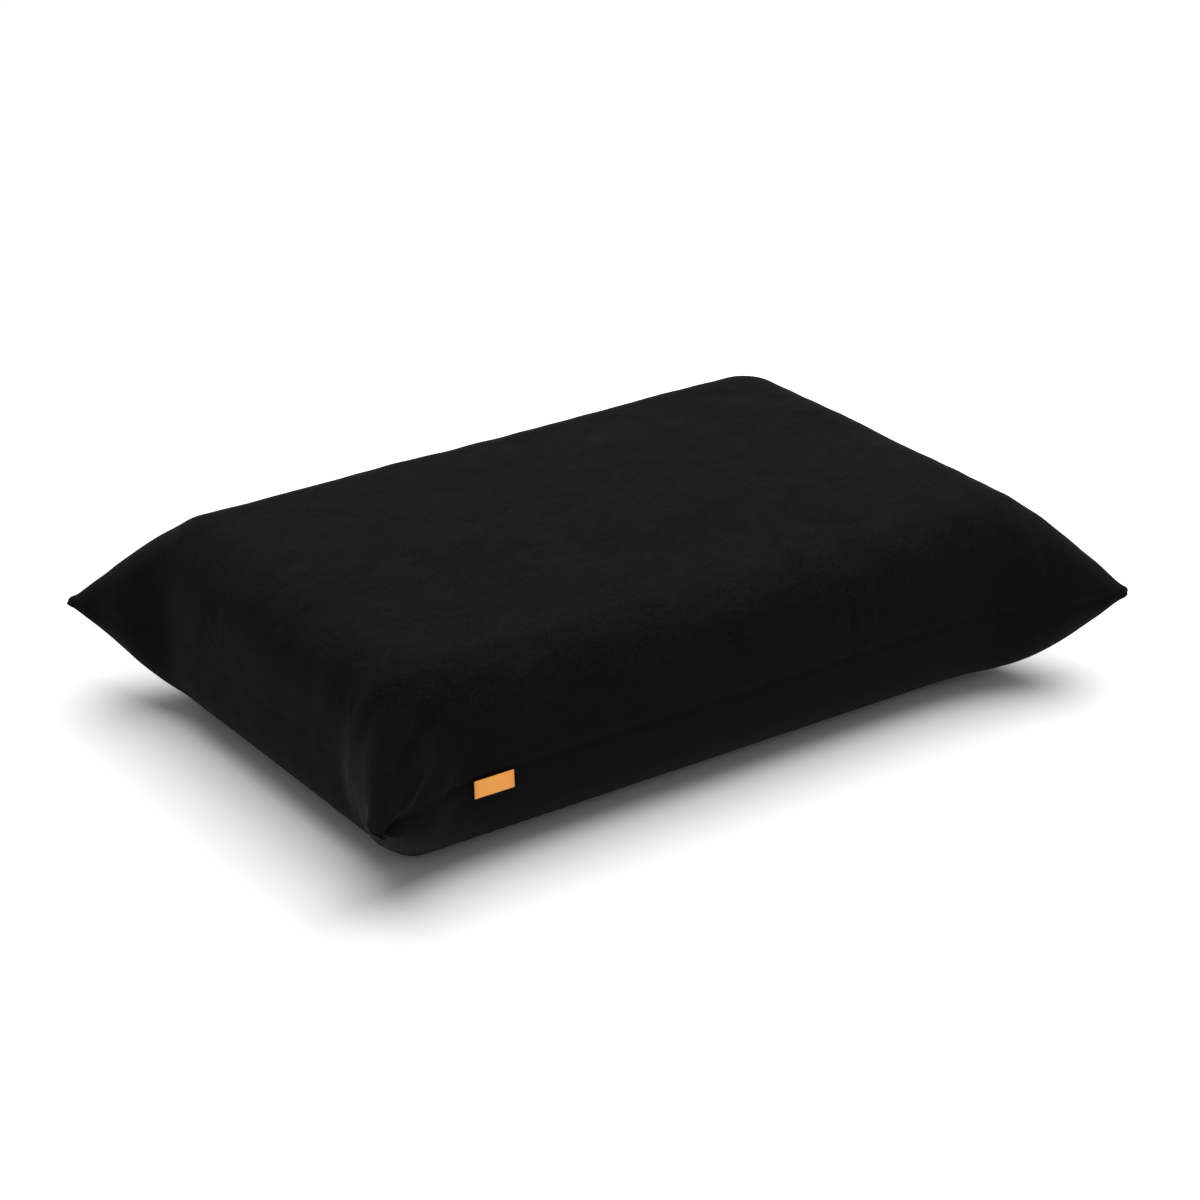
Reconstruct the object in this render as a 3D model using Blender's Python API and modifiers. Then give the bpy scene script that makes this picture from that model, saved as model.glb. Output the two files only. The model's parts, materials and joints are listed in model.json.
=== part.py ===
"""Camp pillow: a rounded foam block in a thin liner, inside a zip-off cover with pointed corners.

Metres, +Z up. The origin is on the floor under the middle of the pillow. X runs along the pillow,
the label is on the -Y side and the zip runs along the +Y side, at half height, where the two
panels of the cover meet.
"""

import math

import bmesh
import bpy
from mathutils import Matrix, Vector

# ---------------------------------------------------------------- driving dimensions

TOUCH = 0.0003  # gap between pieces that rest on each other

FOAM_LENGTH = 0.400
FOAM_WIDTH = 0.256
FOAM_HEIGHT = 0.100
FOAM_CORNER_RADIUS = 0.050  # of the block's four corners, seen from above
FOAM_EDGE_RADIUS = 0.035  # round its top and bottom edges

LINER_WALL = 0.0006

COVER_WALL = 0.0012
COVER_ROOM = 0.0006  # between the liner and the cover, over the top and under the bottom
EAR_REACH = (0.0247, 0.0207)  # from the cover's sides out to a corner point, in X and in Y
EAR_SHOULDER_PULL = 0.004  # how far the top's control points draw in over the round corners
EAR_RIDGE_OUT = 0.008  # past the cover's sides, half way down the ridge to a corner point
EAR_RIDGE_RISE = 0.76  # height there, as a share of the cover's height above the seam
EAR_SEAM_ALONG = (0.009, -0.012)  # along the seam, before the cover's end, for steps 1 and 2
EAR_SEAM_OUT = (0.003, 0.012)  # how far the seam has left the cover's side there

TAPE_THICKNESS = 0.0006
TAPE_OVERLAP = 0.0065  # how far each tape runs on behind the cover, past the window
TAPE_END_OVERLAP = 0.008
COIL_GAP = 0.0016  # between the two rows of teeth, where the slider's neck runs
COIL_WIDTH = 0.0023
COIL_THICKNESS = 0.0018
COIL_EDGE = 0.0004
STOP_LENGTH = 0.0025
STOP_THICKNESS = 0.0022
STOP_OVERHANG = 0.0003  # past the coil's outer edge
STOP_END_MARGIN = 0.0008  # from a stop to the end of the window

SLIDER_LENGTH = 0.0140
SLIDER_INNER_LENGTH = 0.0120
SLIDER_INNER_PLATE = 0.0010
SLIDER_OUTER_PLATE = 0.0012
SLIDER_FLANGE = 0.0010
SLIDER_NECK_LENGTH = 0.0030
SLIDER_COIL_CLEARANCE = 0.0011  # between a flange and the teeth
SLIDER_WINDOW_CLEARANCE = 0.0013  # between the slider and the cover
SLIDER_STOP_CLEARANCE = 0.0010  # left between the slider and a stop at each end of its travel
CROWN_HALF_LENGTH = 0.0044
CROWN_HEIGHT = 0.0036
CROWN_WALL = 0.0011
CROWN_WIDTH = 0.0030

PULL_LENGTH = 0.026  # from the hinge to the grip's end
PULL_THICKNESS = 0.0014
PULL_BAR = 0.0012  # the bar that hangs in the slider's crown
PULL_ARM = 0.0012  # on each side of its eye
PULL_EYE_LENGTH = 0.0056
PULL_GRIP_WIDTH = 0.0085
PULL_SIDE_CLEARANCE = 0.0006  # on each side of the crown
PULL_EYE_CORNER = 0.0005
PULL_SLOT_RADIUS = 0.0016
PULL_SLOT_LENGTH = 0.0075
PULL_SLOT_FROM_END = 0.0030

SIDE_LABEL_WIDTH = 0.022
SIDE_LABEL_DROP = 0.009
SIDE_LABEL_THICKNESS = 0.0008
SIDE_LABEL_FROM_END = 0.046  # from the foam's end to the label's middle
SIDE_LABEL_STAND_OFF = 0.0016  # clears the seam, which already bows out towards the corner

CARE_LABEL_WIDTH = 0.020
CARE_LABEL_DROP = 0.032
CARE_LABEL_THICKNESS = 0.0004
CARE_LABEL_CENTRE_Y = 0.045
CARE_LABEL_STAND_OFF = 0.0007

UNION_BITE = 0.0002  # overlap between shapes that a Boolean joins
FLUSH_STEP = 0.00005  # keeps the faces of joined shapes from lying in one plane
CUT_MARGIN = 0.002  # how far a cutter runs past what it cuts
MERGE = 0.00001

# ---------------------------------------------------------------- sizes that follow

# The cover's profile follows the foam's edge.
COVER_FLAT_INSET = FOAM_EDGE_RADIUS  # from the cover's side to the control points of its flat top
COVER_EDGE_PULL = FOAM_EDGE_RADIUS / 2  # how far they stand back from the cover's top edge

# The slider takes in both rows of teeth, and the window in the cover takes in the slider.
COIL_OUTER_EDGE = COIL_GAP / 2 + COIL_WIDTH
SLIDER_HALF_WIDTH = COIL_OUTER_EDGE + SLIDER_COIL_CLEARANCE + SLIDER_FLANGE
ZIP_WINDOW_HEIGHT = 2 * (SLIDER_HALF_WIDTH + SLIDER_WINDOW_CLEARANCE)
ZIP_WINDOW_LENGTH = FOAM_LENGTH - 2 * FOAM_CORNER_RADIUS  # the side's straight stretch

# Layers from the foam outwards, over the top and under the bottom.
LINER_INNER = TOUCH
LINER_OUTER = LINER_INNER + LINER_WALL
COVER_INNER_TOP = LINER_OUTER + COVER_ROOM

# Round the sides there is also room for the zip: the slider's inner plate and then the tape.
SLIDER_INNER_FROM = TOUCH
TAPE_FROM = SLIDER_INNER_FROM + SLIDER_INNER_PLATE + TOUCH
TAPE_TO = TAPE_FROM + TAPE_THICKNESS
COIL_FROM = TAPE_TO + TOUCH
COVER_HALF = FOAM_HEIGHT / 2 + COVER_INNER_TOP  # from the seam to the cover's inner top
COVER_STRAIGHT = (5 * COVER_HALF - 4 * COVER_EDGE_PULL) / 6  # where its side begins to curve
TAPE_EDGE = ZIP_WINDOW_HEIGHT / 2 + TAPE_OVERLAP  # from the seam to a tape's far edge
COVER_LEAN = COVER_EDGE_PULL / 6 * (TAPE_EDGE / COVER_STRAIGHT) ** 3  # inwards, over that edge
COVER_INNER_SIDE = LINER_OUTER + COIL_FROM + COVER_LEAN
SLIDER_OUTER_FROM = COIL_FROM + COIL_THICKNESS + TOUCH
SLIDER_OUTER_TO = SLIDER_OUTER_FROM + SLIDER_OUTER_PLATE

SEAM_HEIGHT = COVER_HALF + COVER_WALL
LINER_BACK = FOAM_WIDTH / 2 + LINER_OUTER  # the liner's face behind the zip
COVER_FRONT = FOAM_WIDTH / 2 + COVER_INNER_SIDE + COVER_WALL
COVER_END = FOAM_LENGTH / 2 + COVER_INNER_SIDE + COVER_WALL

STOP_AT = ZIP_WINDOW_LENGTH / 2 - STOP_END_MARGIN - STOP_LENGTH
COIL_END = STOP_AT - TOUCH
SLIDER_REST_X = STOP_AT - SLIDER_STOP_CLEARANCE - SLIDER_LENGTH / 2
HINGE_OUT = SLIDER_OUTER_TO + (CROWN_HEIGHT - CROWN_WALL) / 2  # the middle of the crown's eye


# ---------------------------------------------------------------- helpers


def start_empty():
    """Removes the objects of the scene and returns the collections for parts and for cutters."""
    for old in list(bpy.data.objects):
        bpy.data.objects.remove(old)
    made = []
    for name in ("camp_pillow", "cutters"):
        collection = bpy.data.collections.new(name)
        bpy.context.scene.collection.children.link(collection)
        made.append(collection)
    return made


def finish_material(name, colour, roughness, metallic=0.0):
    made = bpy.data.materials.new(name)
    made.use_nodes = True
    shader = made.node_tree.nodes["Principled BSDF"]
    shader.inputs["Base Color"].default_value = (*colour, 1)
    shader.inputs["Roughness"].default_value = roughness
    shader.inputs["Metallic"].default_value = metallic
    made.diffuse_color = (*colour, 1)
    return made


def add_object(name, data, collection, finish=None, location=(0, 0, 0)):
    made = bpy.data.objects.new(name, data)
    collection.objects.link(made)
    made.location = location
    if finish:
        data.materials.append(finish)
    return made


def add_helper(name, data, location=(0, 0, 0)):
    """A shape that only cuts or joins another one."""
    made = add_object(name, data, CUTTERS, location=location)
    made.hide_render = True
    made.display_type = "WIRE"
    return made


def box_mesh(name, low, high):
    """A box between two corners, in the object's own space."""
    low, high = Vector(low), Vector(high)
    shape = bmesh.new()
    place = Matrix.Translation((low + high) / 2) @ Matrix.Diagonal((*(high - low), 1))
    bmesh.ops.create_cube(shape, size=1, matrix=place)
    mesh = bpy.data.meshes.new(name)
    shape.to_mesh(mesh)
    shape.free()
    return mesh


def add_bevel(part, width, segments, **settings):
    bevel = part.modifiers.new("round_edges", "BEVEL")
    bevel.width = width
    bevel.segments = segments
    bevel.use_clamp_overlap = False
    for key, value in settings.items():
        setattr(bevel, key, value)


def add_wall(part, thickness):
    """Thickens an open surface outwards."""
    wall = part.modifiers.new("wall", "SOLIDIFY")
    wall.thickness = thickness
    wall.offset = 1
    wall.use_even_offset = False


def add_boolean(part, other, operation):
    boolean = part.modifiers.new(operation.lower(), "BOOLEAN")
    boolean.operation = operation
    boolean.object = other


def shade(part, angle=40):
    part.data.shade_smooth()
    part.data.set_sharp_from_angle(angle=math.radians(angle))


# ---------------------------------------------------------------- foam and liner


def block_mesh(name, grown, open_at_seam):
    """The foam's box, grown on every side, with its upright edges marked for rounding.

    An open one is the upper half only, from just above the seam, without its lower face.
    """
    half_x, half_y, half_z = (
        size / 2 + grown for size in (FOAM_LENGTH, FOAM_WIDTH, FOAM_HEIGHT)
    )
    bottom = TOUCH / 2 if open_at_seam else -half_z
    mesh = box_mesh(name, (-half_x, -half_y, bottom), (half_x, half_y, half_z))
    shape = bmesh.new()
    shape.from_mesh(mesh)
    weight = shape.edges.layers.float.new("bevel_weight_edge")
    for edge in shape.edges:
        upright = abs(edge.verts[0].co.z - edge.verts[1].co.z) > half_z / 2
        edge[weight] = 1.0 if upright else 0.0
    if open_at_seam:
        lowest = [f for f in shape.faces if f.normal.z < -0.5]
        bmesh.ops.delete(shape, geom=lowest, context="FACES_ONLY")
    shape.to_mesh(mesh)
    shape.free()
    return mesh


def round_block(part, grown):
    """Rounds the upright edges and then the rims, so that every layer is parallel to the foam."""
    add_bevel(part, FOAM_CORNER_RADIUS + grown, 6, limit_method="WEIGHT")
    add_bevel(
        part,
        FOAM_EDGE_RADIUS + grown,
        5,
        limit_method="ANGLE",
        angle_limit=math.radians(60),
    )


def make_foam():
    foam = add_object(
        "foam_core",
        block_mesh("foam_core", 0, open_at_seam=False),
        PARTS,
        FOAM,
        (0, 0, SEAM_HEIGHT),
    )
    round_block(foam, 0)
    shade(foam)


def make_liner():
    """Two thin halves, which are sewn to each other at half height."""
    mesh = block_mesh("liner_half", LINER_INNER, open_at_seam=True)
    for name, turn in (("liner_top", 0), ("liner_bottom", math.pi)):
        half = add_object(name, mesh, PARTS, location=(0, 0, SEAM_HEIGHT))
        half.rotation_euler.x = turn
        round_block(half, LINER_INNER)
        add_wall(half, LINER_WALL)
    mesh.materials.append(LINER)
    mesh.shade_smooth()


# ---------------------------------------------------------------- cover


def cover_point(a, b, sign_x, sign_y):
    """A control point of the cover's inner surface, above the seam plane.

    a and b are steps along the fabric in X and in Y: 0 is on the flat top, 1 is near the top's
    edge, 2 is on the side under that edge and 3 is on the seam.
    """
    half_x = FOAM_LENGTH / 2 + COVER_INNER_SIDE
    half_y = FOAM_WIDTH / 2 + COVER_INNER_SIDE
    top = COVER_HALF
    seam = TOUCH / 2
    inset = (COVER_FLAT_INSET, COVER_EDGE_PULL, 0, 0)
    height = (top, top, top - COVER_EDGE_PULL, seam)
    x, y, z = half_x - inset[a], half_y - inset[b], min(height[a], height[b])
    corner = tuple(sorted((a, b)))
    if corner in ((1, 1), (1, 2)):
        x -= EAR_SHOULDER_PULL if a == 1 else 0
        y -= EAR_SHOULDER_PULL if b == 1 else 0
    elif corner == (2, 2):
        x, y, z = x + EAR_RIDGE_OUT, y + EAR_RIDGE_OUT, top * EAR_RIDGE_RISE
    elif corner == (3, 3):
        x, y = x + EAR_REACH[0], y + EAR_REACH[1]
    elif b == 3 and a in (1, 2):
        x, y = half_x - EAR_SEAM_ALONG[a - 1], half_y + EAR_SEAM_OUT[a - 1]
    elif a == 3 and b in (1, 2):
        x, y = half_x + EAR_SEAM_OUT[b - 1], half_y - EAR_SEAM_ALONG[b - 1]
    return Vector((sign_x * x, sign_y * y, z))


def cover_cage():
    """The coarse cage of one panel: a flat cloth of 8 by 8 points, laid over the foam."""
    steps = (3, 2, 1, 0, 0, 1, 2, 3)
    last = len(steps) - 1
    shape = bmesh.new()
    bmesh.ops.create_grid(shape, x_segments=last, y_segments=last, size=1)
    for vertex in shape.verts:
        i = round((vertex.co.x + 1) / 2 * last)
        j = round((vertex.co.y + 1) / 2 * last)
        sign_x = 1 if i > last / 2 else -1
        sign_y = 1 if j > last / 2 else -1
        vertex.co = cover_point(steps[i], steps[j], sign_x, sign_y)
    mesh = bpy.data.meshes.new("cover_panel")
    shape.to_mesh(mesh)
    shape.free()
    return mesh


def make_cover():
    """Two panels, sewn to each other on three sides and to the zip on the fourth."""
    mesh = cover_cage()
    window = add_helper(
        "zip_window",
        box_mesh(
            "zip_window",
            (-ZIP_WINDOW_LENGTH / 2, 0, -ZIP_WINDOW_HEIGHT / 2),
            (
                ZIP_WINDOW_LENGTH / 2,
                COVER_FRONT + CUT_MARGIN,
                ZIP_WINDOW_HEIGHT / 2,
            ),
        ),
        (0, 0, SEAM_HEIGHT),
    )
    for name, turn in (("cover_top_panel", 0), ("cover_bottom_panel", math.pi)):
        panel = add_object(name, mesh, PARTS, location=(0, 0, SEAM_HEIGHT))
        panel.rotation_euler.x = turn
        soften = panel.modifiers.new("soften", "SUBSURF")
        soften.levels = soften.render_levels = 2
        soften.boundary_smooth = "PRESERVE_CORNERS"
        add_wall(panel, COVER_WALL)
        add_boolean(panel, window, "DIFFERENCE")
    mesh.materials.append(PLUSH)
    mesh.shade_smooth()


# ---------------------------------------------------------------- zip


def make_zip_tapes_and_coils():
    """Each half of the zip is a tape sewn behind the cover's edge, with its row of teeth on it."""
    tape_half = ZIP_WINDOW_LENGTH / 2 + TAPE_END_OVERLAP
    for side, sign in (("upper", 1), ("lower", -1)):
        heights = sorted((sign * COIL_GAP / 2, sign * TAPE_EDGE))
        add_object(
            f"zip_tape_{side}",
            box_mesh(
                f"zip_tape_{side}",
                (-tape_half, TAPE_FROM, heights[0]),
                (tape_half, TAPE_FROM + TAPE_THICKNESS, heights[1]),
            ),
            PARTS,
            TAPE,
            (0, LINER_BACK, SEAM_HEIGHT),
        )
        heights = sorted((sign * COIL_GAP / 2, sign * COIL_OUTER_EDGE))
        coil = add_object(
            f"zip_coil_{side}",
            box_mesh(
                f"zip_coil_{side}",
                (-COIL_END, COIL_FROM, heights[0]),
                (COIL_END, COIL_FROM + COIL_THICKNESS, heights[1]),
            ),
            PARTS,
            NYLON,
            (0, LINER_BACK, SEAM_HEIGHT),
        )
        add_bevel(coil, COIL_EDGE, 2)


def make_stop(name, at, low, high):
    """A metal clamp that ends the slider's travel, from height low to high about the seam."""
    stop = add_object(
        name,
        box_mesh(
            name,
            (0, COIL_FROM, low),
            (STOP_LENGTH, COIL_FROM + STOP_THICKNESS, high),
        ),
        PARTS,
        BLACK_METAL,
        (at, LINER_BACK, SEAM_HEIGHT),
    )
    add_bevel(stop, COIL_EDGE, 2)


def make_stops():
    outer = COIL_OUTER_EDGE + STOP_OVERHANG
    inner = COIL_GAP / 2
    make_stop("zip_top_stop_upper", STOP_AT, inner, outer)
    make_stop("zip_top_stop_lower", STOP_AT, -outer, -inner)
    make_stop("zip_bottom_stop", -STOP_AT - STOP_LENGTH, -outer, outer)


def outline_curve(name, rings, thickness):
    """A flat plate in its own XY plane. Each ring is a list of points, and inner rings are holes."""
    curve = bpy.data.curves.new(name, "CURVE")
    curve.dimensions = "2D"
    curve.fill_mode = "BOTH"
    curve.extrude = thickness / 2
    for ring in rings:
        spline = curve.splines.new("POLY")
        spline.points.add(len(ring) - 1)
        for point, (x, y) in zip(spline.points, ring):
            point.co = (x, y, 0, 1)
        spline.use_cyclic_u = True
    return curve


def arc(centre, radii, start, end, steps):
    """Points of an elliptical arc, from start to end in degrees."""
    angles = [
        math.radians(start + (end - start) * k / steps) for k in range(steps + 1)
    ]
    return [
        (centre[0] + radii[0] * math.cos(t), centre[1] + radii[1] * math.sin(t))
        for t in angles
    ]


def rounded_bar(start, end, half_start, half_end, radius, steps=4):
    """Outline of a plate from x = start to x = end, tapering between two half widths."""
    corners = (
        (end - radius, half_end - radius, 0),
        (start + radius, half_start - radius, 90),
        (start + radius, radius - half_start, 180),
        (end - radius, radius - half_end, 270),
    )
    ring = []
    for x, y, turn in corners:
        ring += arc((x, y), (radius, radius), turn, turn + 90, steps)
    return ring


def mesh_of_curve(name, curve):
    """A closed mesh of a curve's solid, for use in a Boolean."""
    holder = bpy.data.objects.new(name, curve)
    CUTTERS.objects.link(holder)
    graph = bpy.context.evaluated_depsgraph_get()
    mesh = bpy.data.meshes.new_from_object(holder.evaluated_get(graph))
    bpy.data.objects.remove(holder)
    shape = bmesh.new()
    shape.from_mesh(mesh)
    bmesh.ops.remove_doubles(shape, verts=shape.verts, dist=MERGE)
    bmesh.ops.recalc_face_normals(shape, faces=shape.faces)
    shape.to_mesh(mesh)
    shape.free()
    mesh.name = name
    return mesh


def crown_mesh():
    """The arch on the slider, from which the pull hangs."""
    foot = SLIDER_OUTER_TO - UNION_BITE
    outer = arc((0, foot), (CROWN_HALF_LENGTH, CROWN_HEIGHT + UNION_BITE), 0, 180, 16)
    inner_radii = (
        CROWN_HALF_LENGTH - CROWN_WALL,
        CROWN_HEIGHT + UNION_BITE - CROWN_WALL,
    )
    inner = arc((0, foot), inner_radii, 180, 0, 16)
    curve = outline_curve("slider_crown", [outer + inner], CROWN_WIDTH)
    return mesh_of_curve("slider_crown", curve)


def make_slider():
    """Two plates joined by a neck, with flanges that hold the teeth and a crown for the pull."""
    place = (SLIDER_REST_X, LINER_BACK, SEAM_HEIGHT)
    half_width = SLIDER_HALF_WIDTH
    half_outer = SLIDER_LENGTH / 2
    half_inner = SLIDER_INNER_LENGTH / 2
    slider = add_object(
        "zip_slider",
        box_mesh(
            "zip_slider",
            (-half_outer, SLIDER_OUTER_FROM, -half_width),
            (half_outer, SLIDER_OUTER_TO, half_width),
        ),
        PARTS,
        BLACK_METAL,
        place,
    )
    joined = {
        "slider_inner_plate": (
            (-half_inner, SLIDER_INNER_FROM, -half_width),
            (half_inner, SLIDER_INNER_FROM + SLIDER_INNER_PLATE, half_width),
        ),
        "slider_neck": (
            (
                half_inner - SLIDER_NECK_LENGTH,
                SLIDER_INNER_FROM + SLIDER_INNER_PLATE - UNION_BITE,
                TOUCH - COIL_GAP / 2,
            ),
            (
                half_inner - SLIDER_FLANGE / 2,
                SLIDER_OUTER_FROM + UNION_BITE,
                COIL_GAP / 2 - TOUCH,
            ),
        ),
        "slider_flange_upper": (
            (-half_inner, COIL_FROM, half_width - SLIDER_FLANGE),
            (half_inner, SLIDER_OUTER_FROM + UNION_BITE, half_width - FLUSH_STEP),
        ),
        "slider_flange_lower": (
            (-half_inner, COIL_FROM, FLUSH_STEP - half_width),
            (half_inner, SLIDER_OUTER_FROM + UNION_BITE, SLIDER_FLANGE - half_width),
        ),
    }
    for name, (low, high) in joined.items():
        add_boolean(slider, add_helper(name, box_mesh(name, low, high), place), "UNION")
    add_boolean(slider, add_helper("slider_crown", crown_mesh(), place), "UNION")
    return slider


def make_pull(slider):
    """A flat tab with an eye at one end. It lies along the teeth and swings about the crown's eye."""
    eye_half = CROWN_WIDTH / 2 + PULL_SIDE_CLEARANCE
    hinge_half = eye_half + PULL_ARM
    bar = PULL_BAR / 2
    slot_from = -PULL_LENGTH + PULL_SLOT_FROM_END
    slot_radius = PULL_SLOT_RADIUS
    body = rounded_bar(-PULL_LENGTH, bar, PULL_GRIP_WIDTH / 2, hinge_half, bar)
    eye = rounded_bar(-bar - PULL_EYE_LENGTH, -bar, eye_half, eye_half, PULL_EYE_CORNER)
    slot = rounded_bar(
        slot_from,
        slot_from + PULL_SLOT_LENGTH,
        slot_radius,
        slot_radius,
        slot_radius - MERGE,
    )
    curve = outline_curve("zip_pull", [body, eye, slot], PULL_THICKNESS)
    pull = add_object("zip_pull", mesh_of_curve("zip_pull", curve), PARTS, BLACK_METAL)
    pull.parent = slider
    pull.location = (0, HINGE_OUT, 0)
    pull.rotation_euler.x = math.pi / 2


# ---------------------------------------------------------------- labels


def make_labels():
    """Two folded labels, each hanging from the seam by its upper edge."""
    half = SIDE_LABEL_WIDTH / 2
    thick = SIDE_LABEL_THICKNESS / 2
    add_object(
        "side_label",
        box_mesh("side_label", (-half, -thick, -SIDE_LABEL_DROP), (half, thick, 0)),
        PARTS,
        ORANGE_WEAVE,
        (
            SIDE_LABEL_FROM_END - FOAM_LENGTH / 2,
            -(COVER_FRONT + SIDE_LABEL_STAND_OFF + thick),
            SEAM_HEIGHT,
        ),
    )
    half = CARE_LABEL_WIDTH / 2
    thick = CARE_LABEL_THICKNESS / 2
    add_object(
        "care_label",
        box_mesh("care_label", (-thick, -half, -CARE_LABEL_DROP), (thick, half, 0)),
        PARTS,
        WHITE_SATIN,
        (
            COVER_END + CARE_LABEL_STAND_OFF + thick,
            CARE_LABEL_CENTRE_Y,
            SEAM_HEIGHT,
        ),
    )


PARTS, CUTTERS = start_empty()
FOAM = finish_material("foam", (0.80, 0.78, 0.70), 0.95)
LINER = finish_material("liner", (0.75, 0.75, 0.74), 0.9)
PLUSH = finish_material("cover", (0.010, 0.010, 0.010), 0.85)
TAPE = finish_material("zip_tape", (0.014, 0.014, 0.014), 0.8)
NYLON = finish_material("zip_teeth", (0.016, 0.016, 0.017), 0.4)
BLACK_METAL = finish_material("zip_metal", (0.03, 0.03, 0.032), 0.35, 1.0)
ORANGE_WEAVE = finish_material("side_label", (0.95, 0.42, 0.07), 0.7)
WHITE_SATIN = finish_material("care_label", (0.85, 0.85, 0.84), 0.45)

make_foam()
make_liner()
make_cover()
make_zip_tapes_and_coils()
make_stops()
make_pull(make_slider())
make_labels()
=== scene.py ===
"""Camp pillow in its black velour cover: the visible pieces, their finishes, the light and the camera."""

import json
import math

import bmesh
import bpy
import numpy as np
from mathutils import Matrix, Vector

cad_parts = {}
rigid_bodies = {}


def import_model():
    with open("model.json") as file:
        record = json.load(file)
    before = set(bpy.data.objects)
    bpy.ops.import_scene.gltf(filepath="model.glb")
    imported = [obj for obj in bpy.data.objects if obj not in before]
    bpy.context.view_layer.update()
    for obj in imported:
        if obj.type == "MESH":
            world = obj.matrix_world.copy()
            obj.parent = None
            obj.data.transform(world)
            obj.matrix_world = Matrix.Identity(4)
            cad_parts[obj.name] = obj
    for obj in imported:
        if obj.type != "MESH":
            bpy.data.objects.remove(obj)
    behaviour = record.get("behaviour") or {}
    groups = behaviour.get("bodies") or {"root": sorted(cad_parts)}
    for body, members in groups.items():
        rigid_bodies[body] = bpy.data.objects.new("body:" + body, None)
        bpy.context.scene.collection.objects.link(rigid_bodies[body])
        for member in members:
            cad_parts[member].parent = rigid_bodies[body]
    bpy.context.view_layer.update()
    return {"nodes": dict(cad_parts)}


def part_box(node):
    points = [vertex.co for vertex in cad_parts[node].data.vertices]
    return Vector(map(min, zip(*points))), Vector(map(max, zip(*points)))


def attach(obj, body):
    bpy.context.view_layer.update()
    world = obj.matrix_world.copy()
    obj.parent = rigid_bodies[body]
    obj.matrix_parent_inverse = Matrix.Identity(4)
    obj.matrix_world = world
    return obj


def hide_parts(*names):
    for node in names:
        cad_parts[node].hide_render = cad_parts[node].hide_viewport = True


for old in list(bpy.data.objects):
    bpy.data.objects.remove(old)
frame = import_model()
nodes = frame["nodes"]

# ---------------------------------------------------------------- sizes, in metres

SEAM = 0.0527  # height of the seam round the pillow
BLOCK = (0.2042, 0.1322, 0.0524)  # half sizes of the stuffed block, over the cover
BLOCK_CORNER = 0.034  # its corners seen from above
TOP_EDGE = 0.032  # its rounded edges, above and below, where the bottom is softer along the sides
BOTTOM_EDGE_AT_ENDS, BOTTOM_EDGE_AT_SIDES = 0.037, 0.047
PATTERN = (0.468, 0.325)  # a cover panel as it was cut, laid flat
EAR = (0.2286, 0.1526)  # a corner point of the cover
COVER_WALL = 0.0012
ZIP_HALF_LENGTH, ZIP_HALF_GAP = 0.150, 0.0062  # the opening in the seam at the back


def smooth(a, b, x):
    t = np.clip((x - a) / (b - a), 0, 1)
    return t * t * (3 - 2 * t)


def bell(distance, width):
    return np.exp(-((distance / width) ** 2))


# ---------------------------------------------------------------- node helpers


class Tree:
    """Adds nodes to a tree and joins them in one call each."""

    def __init__(self, tree):
        self.tree = tree

    def add(self, kind, sockets=None, **settings):
        node = self.tree.nodes.new(kind)
        for name, value in settings.items():
            setattr(node, name, value)
        for name, value in (sockets or {}).items():
            self.feed(node.inputs[name], value)
        return node

    def feed(self, socket, value):
        """Joins a socket to another one, or sets its value."""
        if isinstance(value, bpy.types.NodeSocket):
            self.tree.links.new(value, socket)
        else:
            socket.default_value = value

    def math(self, operation, *values):
        node = self.add("ShaderNodeMath", operation=operation)
        for socket, value in zip(node.inputs, values):
            self.feed(socket, value)
        return node.outputs[0]

    def mix(self, factor, a, b):
        node = self.add("ShaderNodeMix", data_type="RGBA")
        for name, value in (("Factor_Float", factor), ("A_Color", a), ("B_Color", b)):
            self.feed(next(s for s in node.inputs if s.identifier == name), value)
        return next(s for s in node.outputs if s.identifier == "Result_Color")

    def place(self, kind="Object"):
        return self.add("ShaderNodeTexCoord").outputs[kind]

    def noise(self, vector, scale, detail=2.0, roughness=0.5, distortion=0.0):
        sockets = {"Vector": vector, "Scale": scale, "Detail": detail}
        sockets.update({"Roughness": roughness, "Distortion": distortion})
        return self.add("ShaderNodeTexNoise", sockets).outputs["Fac"]

    def ramp(self, value, start, end, low=0.0, high=1.0):
        sockets = {"Value": value, "From Min": start, "From Max": end, "To Min": low, "To Max": high}
        return self.add("ShaderNodeMapRange", sockets).outputs[0]

    def scaled(self, value, factor, offset=0.0):
        """A value times a factor, and then moved by an offset."""
        made = self.math("MULTIPLY", value, factor)
        return self.math("ADD", made, offset) if offset else made

    def uneven(self, value, amount):
        """A value from 0 to 1, centred on 0 and scaled."""
        return self.math("MULTIPLY", self.math("SUBTRACT", value, 0.5), amount)


def group(name, kind, inputs, outputs):
    """A node group, the sockets it is given and the sockets it gives back."""
    tree = bpy.data.node_groups.new(name, kind)
    for label, socket_type, value in inputs:
        socket = tree.interface.new_socket(label, in_out="INPUT", socket_type=socket_type)
        if value is not None:
            socket.default_value = value
    for label, socket_type in outputs:
        tree.interface.new_socket(label, in_out="OUTPUT", socket_type=socket_type)
    t = Tree(tree)
    return t, t.add("NodeGroupInput").outputs, t.add("NodeGroupOutput").inputs


def material(name, **values):
    made = bpy.data.materials.new(name)
    made.use_nodes = True
    shader = made.node_tree.nodes["Principled BSDF"]
    for label, value in values.items():
        shader.inputs[label.replace("_", " ")].default_value = value
    return made, Tree(made.node_tree), shader


def grey(value):
    return (value, value, value, 1)


# ---------------------------------------------------------------- shared effects


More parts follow.
